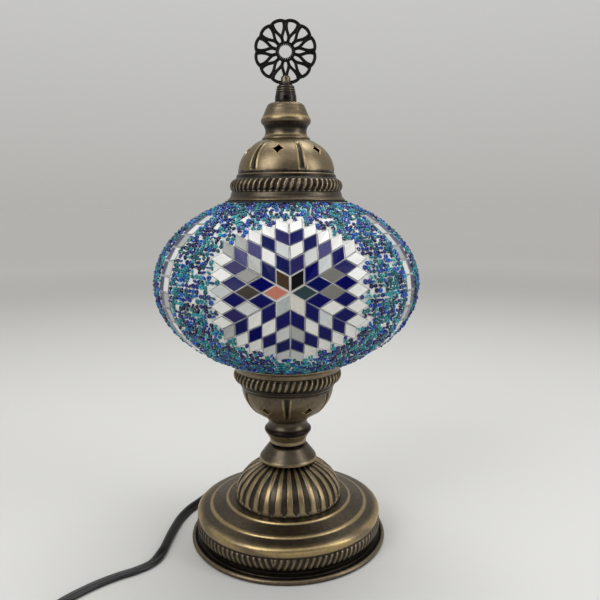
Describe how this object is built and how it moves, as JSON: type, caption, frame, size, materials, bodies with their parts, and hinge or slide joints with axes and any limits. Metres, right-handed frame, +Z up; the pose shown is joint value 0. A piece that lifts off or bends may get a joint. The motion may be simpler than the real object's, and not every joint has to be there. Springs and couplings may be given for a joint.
{
  "type": "mosaic glass table lamp",
  "caption": "Table lamp with a stepped fluted brass base, an oblate glass shade covered in tile stars and seed beads, a vented brass cap and an openwork disc finial.",
  "frame": {"origin": "centre of the base's underside, on the table", "axes": "+Z up the lamp's axis, -Y towards the front, where one star and the face of the finial's disc look"},
  "size_m": [0.2397, 0.3136, 0.3524],
  "materials": {
    "antique_brass": "spun and pressed brass, darkened in the recesses and rubbed gold on the edges",
    "dark_bronze": "blackened bronze",
    "bright_brass": "bright brass",
    "zinc_steel": "zinc plated",
    "spring_steel": "blued spring steel",
    "iron": "as cast",
    "felt": "pressed wool felt",
    "black_rubber": "matt",
    "black_plastic": "satin moulding",
    "cord_black": "flexible vinyl",
    "white_wire": "insulated wire",
    "tie_wire": "ribbed tie",
    "phenolic": "moulded phenolic",
    "black_glass": "fired glass insulator",
    "lamp_glass": "clear blown glass",
    "stem_glass": "pressed glass stem",
    "filament": "phosphor coated filament",
    "globe_glass": "blown glass",
    "plaster": "white plaster grout",
    "mirror_glass": "mirror tile",
    "cobalt_glass": "cobalt glass tile",
    "clear_glass": "clear glass tile",
    "violet_glass": "violet glass tile",
    "bead_glass": "glass seed beads in royal blue and turquoise"
  },
  "bodies": {
    "base": {"felt_pad": "felt", "base_pan": "antique_brass", "base_weight": "iron", "base_drum": "antique_brass", "base_dome": "antique_brass", "base_collar": "antique_brass", "neck_spacer": "dark_bronze", "lamp_pipe": "zinc_steel", "pipe_nuts": "zinc_steel", "pipe_washers": "zinc_steel", "holder_neck": "dark_bronze", "holder_bowl": "antique_brass", "seat_gasket": "black_rubber", "socket_housing": "phenolic", "socket_sleeve": "bright_brass", "socket_contact": "bright_brass", "inner_lead": "white_wire", "strain_relief": "black_rubber", "cord_run": "cord_black", "cord_link": "cord_black", "cord_tail": "cord_black", "cord_coil": "cord_black", "coil_tie": "tie_wire", "switch_base": "black_plastic", "switch_cover": "black_plastic", "switch_screws": "zinc_steel", "plug_body": "black_plastic", "plug_blades": "bright_brass"},
    "rocker": {"switch_rocker": "black_plastic"},
    "bulb": {"bulb_cap": "bright_brass", "bulb_insulator": "black_glass", "bulb_glass": "lamp_glass", "bulb_stem": "stem_glass", "bulb_filaments": "filament"},
    "shade": {"glass_globe": "globe_glass", "plaster_coat": "plaster", "mirror_tiles": "mirror_glass", "cobalt_tiles": "cobalt_glass", "clear_tiles": "clear_glass", "divider_clear_tiles": "clear_glass", "divider_violet_tiles": "violet_glass", "seed_beads": "bead_glass"},
    "cap": {"cap_gasket": "black_rubber", "cap_bell": "antique_brass", "cap_crown": "antique_brass", "cap_rod": "zinc_steel", "cap_nut": "zinc_steel", "cap_springs": "spring_steel"},
    "finial": {"finial_stem": "dark_bronze", "finial_rosette": "dark_bronze", "finial_pin": "dark_bronze"}
  },
  "joints": [
    {"name": "shade_lift", "type": "slide", "parent": "base", "child": "shade", "axis": [0, 0, 1], "range_m": [0, 0.1]},
    {"name": "cap_lift", "type": "slide", "parent": "shade", "child": "cap", "axis": [0, 0, 1], "range_m": [0, 0.05]},
    {"name": "finial_turn", "type": "hinge", "parent": "cap", "child": "finial", "pos_m": [0, 0, 0.3], "axis": [0, 0, 1], "range_deg": [0, 3240]},
    {"name": "bulb_turn", "type": "hinge", "parent": "base", "child": "bulb", "pos_m": [0, 0, 0.12], "axis": [0, 0, 1], "range_deg": [0, 1260]},
    {"name": "rocker_tip", "type": "hinge", "parent": "base", "child": "rocker", "pos_m": [-0.138, -0.142, 0.0124], "axis": [-1, 0, 0], "range_deg": [0, 14]}
  ]
}
